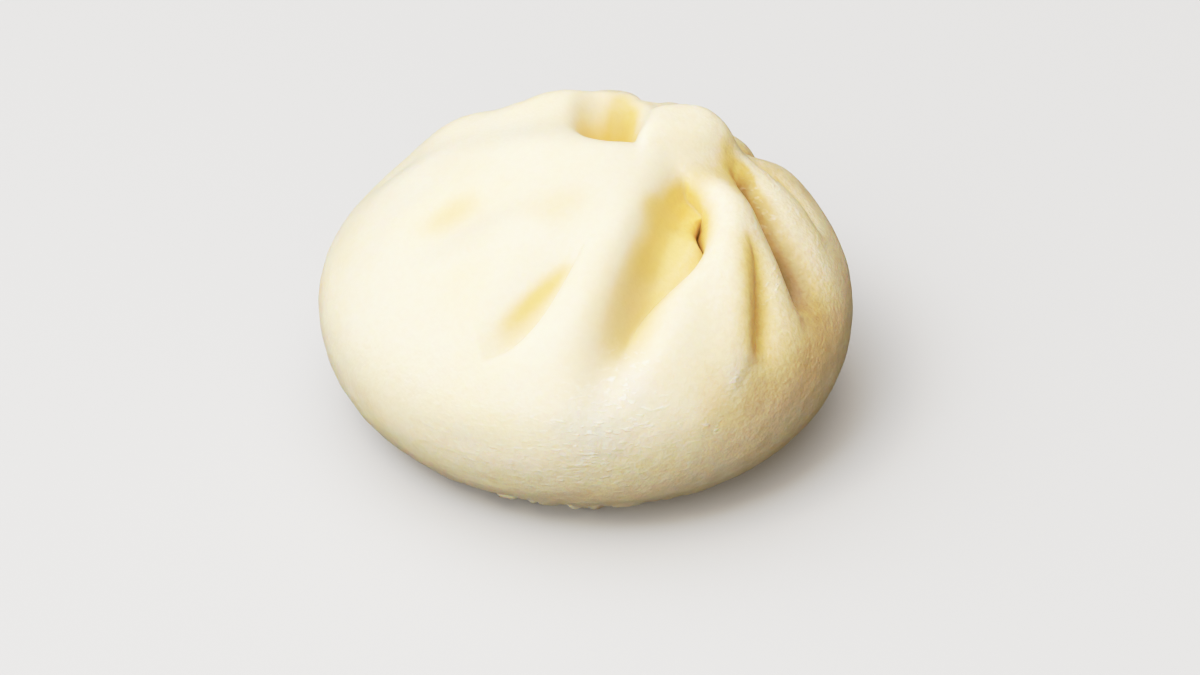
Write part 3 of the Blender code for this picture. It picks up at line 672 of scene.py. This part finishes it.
def doughMaterial():
    # colour: mottled skin, and over it in turn the folds' yellows (partly painted shade), the slot's painted
    # shadow, places darkened by painted shade, moist places, flecks whitened partly as painted highlight, the
    # grain's hollows darkened as painted shade and the specks; relief: grain + pores + flecks
    material = bpy.data.materials.new("steamedWheatDough")
    material.use_nodes = True
    tree = material.node_tree
    shader = tree.nodes["Principled BSDF"]
    place = addNode(tree, "ShaderNodeTexCoord").outputs["Object"]
    perMetre = 1/millimetre
    # what the mesh says at each of its points
    facts = {name: addNode(tree, "ShaderNodeAttribute", {"attribute_name": name}).outputs["Fac"]
             for name in ("foldTintAndShadeDepth", "slotShadowShare", "paintedShadeStrength", "moisture", "flecks", "coarseness")}

    mottle = addNode(tree, "ShaderNodeTexNoise", {"Scale": perMetre/dough["mottleSize"], "Detail": 3.0},
                     {"Vector": place})
    flattened = addNode(tree, "ShaderNodeVectorMath", {"operation": "MULTIPLY",
                                                       1: (1.0, 1.0, dough["fleckFlatness"])}, {0: place})
    spread = addNode(tree, "ShaderNodeTexNoise", {"Scale": perMetre/dough["fleckSize"], "Detail": 1.5},
                     {"Vector": flattened.outputs["Vector"]})
    grain = addNode(tree, "ShaderNodeTexNoise", {"Scale": perMetre/dough["grainSize"], "Detail": 4.0,
                                                 "Roughness": 0.6}, {"Vector": place}).outputs["Fac"]

    # shares of the colours: source, what it runs from and to, what that becomes, and how it eases
    runs = {
        "skinWarm": (mottle.outputs["Fac"], dough["mottleRange"], (0.0, 1.0), "LINEAR"),
        "fold": (facts["foldTintAndShadeDepth"], dough["foldDepths"], (0.0, 1.0), "SMOOTHSTEP"),
        "deepFold": (facts["foldTintAndShadeDepth"], dough["deepFoldDepths"], (0.0, 1.0), "SMOOTHSTEP"),
        "raised": (spread.outputs["Fac"], dough["fleckRange"], (0.0, 1.0), "LINEAR"),
        "hollow": (grain, dough["grainRange"], (0.0, dough["grainShare"]), "LINEAR"),
        "evenGrain": (facts["coarseness"], (0.0, 1.0), (dough["leastGrain"], 1.0), "LINEAR"),
        "gloss": (grain, dough["roughnessRange"], dough["roughness"], "LINEAR"),
    }
    shares = {}
    for name, (source, ends, becomes, easing) in runs.items():
        ranged = addNode(tree, "ShaderNodeMapRange",
                         {"interpolation_type": easing, "From Min": ends[0], "From Max": ends[1],
                          "To Min": becomes[0], "To Max": becomes[1]}, {"Value": source})
        shares[name] = ranged.outputs["Result"]
    fleck = addNode(tree, "ShaderNodeMath", {"operation": "MULTIPLY", "use_clamp": True},
                    {0: shares["raised"], 1: facts["flecks"]}).outputs["Value"]
    paler = addNode(tree, "ShaderNodeMath", {"operation": "MULTIPLY", 1: dough["fleckShare"]}, {0: fleck})
    # share of painted shade in the grain's hollows
    grainShadeShare = addNode(tree, "ShaderNodeMath", {"operation": "MULTIPLY"},
                      {0: shares["hollow"], 1: shares["evenGrain"]})

    # each colour with its share, laid over what is there; the slot, the shade tint and the grain's tint are
    # painted shade
    layers = [
        ("fold", shares["fold"], "MIX"),
        ("deepFold", shares["deepFold"], "MIX"),
        ("slotShadow", facts["slotShadowShare"], "MIX"),
        ("paintedShadeTint", facts["paintedShadeStrength"], "MULTIPLY"),
        ("moist", facts["moisture"], "MIX"),
        # whitened flecks, partly painted highlight
        ("fleck", paler.outputs["Value"], "MIX"),
        ("grainHollowShade", grainShadeShare.outputs["Value"], "MULTIPLY"),
    ]
    for spot in dough["specks"]:
        centre = tuple(value*millimetre for value in spot)
        gap = addNode(tree, "ShaderNodeVectorMath", {"operation": "DISTANCE", 1: centre}, {0: place})
        near = addNode(tree, "ShaderNodeMapRange", {"From Min": dough["speckSize"]*millimetre,
                                                    "From Max": 0.3*dough["speckSize"]*millimetre},
                       {"Value": gap.outputs["Value"]})
        layers.append(("speck", near.outputs["Result"], "MIX"))
    skin = addNode(tree, "ShaderNodeMix", {"data_type": "RGBA", "A": hexColour(dough["skin"]),
                                           "B": hexColour(dough["skinWarm"])}, {"Factor": shares["skinWarm"]})
    colour = skin.outputs["Result"]
    for name, share, blend in layers:
        laid = addNode(tree, "ShaderNodeMix", {"data_type": "RGBA", "blend_type": blend,
                                               "B": hexColour(dough[name])}, {"Factor": share, "A": colour})
        colour = laid.outputs["Result"]
    tree.links.new(colour, shader.inputs["Base Color"])

    pores = addNode(tree, "ShaderNodeTexVoronoi", {"feature": "SMOOTH_F1",
                                                   "Scale": perMetre/dough["poreSize"]}, {"Vector": place})
    relief = addNode(tree, "ShaderNodeMath", {"operation": "MULTIPLY_ADD", 1: dough["poreShare"]},
                     {0: pores.outputs["Distance"], 2: grain})
    raised = addNode(tree, "ShaderNodeMath", {"operation": "ADD"}, {0: relief.outputs["Value"], 1: fleck})
    bump = addNode(tree, "ShaderNodeBump", {"Distance": dough["reliefDepth"]*millimetre},
                   {"Height": raised.outputs["Value"], "Strength": shares["evenGrain"]})
    tree.links.new(bump.outputs["Normal"], shader.inputs["Normal"])
    shine = addNode(tree, "ShaderNodeMath", {"operation": "MULTIPLY_ADD", 1: -dough["fleckGloss"],
                                             "use_clamp": True}, {0: fleck, 2: shares["gloss"]})
    tree.links.new(shine.outputs["Value"], shader.inputs["Roughness"])
    shader.inputs["IOR"].default_value = dough["indexOfRefraction"]
    shader.inputs["Coat Weight"].default_value = dough["moistFilm"]
    shader.inputs["Coat Roughness"].default_value = dough["filmRoughness"]
    shader.inputs["Coat IOR"].default_value = dough["filmRefraction"]
    shader.inputs["Subsurface Weight"].default_value = 1.0
    shader.inputs["Subsurface Radius"].default_value = dough["lightReach"]
    shader.inputs["Subsurface Scale"].default_value = millimetre
    print("dough finish made")
    return material


bunPiece = buildBun()
bunPiece.data.materials.append(doughMaterial())
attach(bunPiece, "root")
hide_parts("bun")

# Plain matt studio floor, a small soft box, and a room lit by broad glows: one overhead and one low in front,
# both on the left, and a weak warm one from the right.
studio = {
    "floorColour": "#cacacb",
    "floorSize": 20.0,
    "floorRoughness": 0.8,
    "lightAim": (0.0, 0.0, 0.03),          # where the soft box points
    "softBoxFrom": (-0.40, -0.35, 0.85),   # direction from there
    "softBoxDistance": 0.9,
    "softBoxSize": 0.42,
    "softBoxPower": 4.0,
    "glows": (                             # direction, where it starts (cosine from there), strength, colour
        ((-0.36, 0.08, 0.93), 0.44, 2.6, "#ffffff"),
        ((-0.42, -0.86, 0.29), 0.63, 2.4, "#fffffb"),
        ((0.80, -0.20, 0.57), 0.30, 0.36, "#ffedcc"),
    ),
    "roomDim": 0.06,                       # strength of the rest of the room
    "dimColour": "#ffcf7e",
    "roomSeen": 0.75,                      # what the camera sees beyond the floor
}


def buildFloor():
    # a flat square; it throws no light up under the bun, nor a reflection on the bun's rim
    half = studio["floorSize"]/2
    corners = [(-half, -half, 0), (half, -half, 0), (half, half, 0), (-half, half, 0)]
    mesh = bpy.data.meshes.new("floor")
    mesh.from_pydata(corners, [], [(0, 1, 2, 3)])
    material = bpy.data.materials.new("mattPaintedFloor")
    material.use_nodes = True
    shader = material.node_tree.nodes["Principled BSDF"]
    shader.inputs["Base Color"].default_value = hexColour(studio["floorColour"])
    shader.inputs["Roughness"].default_value = studio["floorRoughness"]
    mesh.materials.append(material)
    floor = bpy.data.objects.new("floor", mesh)
    floor.visible_diffuse = False
    floor.visible_glossy = False
    bpy.context.scene.collection.objects.link(floor)


def buildLight():
    # soft box, and the room: dim colour + each glow's colour * strength * smooth step of the angle's cosine
    lamp = bpy.data.lights.new("softBox", "AREA")
    lamp.size = studio["softBoxSize"]
    lamp.energy = studio["softBoxPower"]
    box = bpy.data.objects.new("softBox", lamp)
    aside = Vector(studio["softBoxFrom"]).normalized()
    box.location = Vector(studio["lightAim"])+aside*studio["softBoxDistance"]
    box.rotation_euler = aside.to_track_quat("Z", "Y").to_euler()
    bpy.context.scene.collection.objects.link(box)
    world = bpy.data.worlds.new("room")
    world.use_nodes = True
    tree = world.node_tree
    looking = addNode(tree, "ShaderNodeTexCoord").outputs["Generated"]
    dim = {"operation": "SCALE", 0: hexColour(studio["dimColour"])[:3], "Scale": studio["roomDim"]}
    light = addNode(tree, "ShaderNodeVectorMath", dim).outputs["Vector"]
    for direction, start, strength, colour in studio["glows"]:
        axis = Vector(direction).normalized()
        toward = addNode(tree, "ShaderNodeVectorMath", {"operation": "DOT_PRODUCT", 1: axis}, {0: looking})
        glow = addNode(tree, "ShaderNodeMapRange", {"interpolation_type": "SMOOTHSTEP", "From Min": start,
                                                    "From Max": 1.0, "To Min": 0.0, "To Max": strength},
                       {"Value": toward.outputs["Value"]})
        tinted = addNode(tree, "ShaderNodeVectorMath", {"operation": "SCALE", 0: hexColour(colour)[:3]},
                         {"Scale": glow.outputs["Result"]})
        light = addNode(tree, "ShaderNodeVectorMath", {"operation": "ADD"},
                        {0: light, 1: tinted.outputs["Vector"]}).outputs["Vector"]
    seen = addNode(tree, "ShaderNodeLightPath").outputs["Is Camera Ray"]
    shown = addNode(tree, "ShaderNodeMix", {"data_type": "RGBA", "B": (*[studio["roomSeen"]]*3, 1)},
                    {"Factor": seen, "A": light})
    tree.links.new(shown.outputs["Result"], tree.nodes["Background"].inputs["Color"])
    tree.nodes["Background"].inputs["Strength"].default_value = 1.0
    bpy.context.scene.world = world


# Camera before the open pleat, looking down at the photograph's angle. Its tone curve keeps the middle tones
# as they are and rolls the bright ones off softly.
cameraView = {
    "elevation": 34.4,             # degrees
    "distance": 0.545,             # metres
    "lens": 85.0,                  # millimetres, as is the sensor
    "sensor": 36.0,
    "aim": (0.00276, 0.0, 0.01223),
    "brightest": 2.4,
    "toneCurve": ((0.3, 0.3), (0.56, 0.54), (0.8, 0.67), (1.0, 0.76),
                  (1.27, 0.84), (1.6, 0.915), (1.9, 0.96)),
}


def buildCamera():
    # straight before the aim, back and up by the elevation
    tilt = math.radians(cameraView["elevation"])
    lensData = bpy.data.cameras.new("camera")
    lensData.lens = cameraView["lens"]
    lensData.sensor_width = cameraView["sensor"]
    camera = bpy.data.objects.new("camera", lensData)
    back = Vector((0, -math.cos(tilt), math.sin(tilt)))
    camera.location = Vector(cameraView["aim"])+back*cameraView["distance"]
    camera.rotation_euler = (math.pi/2-tilt, 0, 0)
    bpy.context.scene.collection.objects.link(camera)
    bpy.context.scene.camera = camera


def setTones():
    # the tone curve runs from 0 to the brightest light, so its points are shares of that
    look = bpy.context.scene.view_settings
    look.view_transform = "Standard"
    look.use_curve_mapping = True
    tones = look.curve_mapping
    tones.white_level = (cameraView["brightest"],)*3
    curve = tones.curves[3]
    for bright, shown in cameraView["toneCurve"]:
        curve.points.new(bright/cameraView["brightest"], shown)
    tones.update()


buildFloor()
buildLight()
buildCamera()
setTones()
print("floor, light and camera placed")
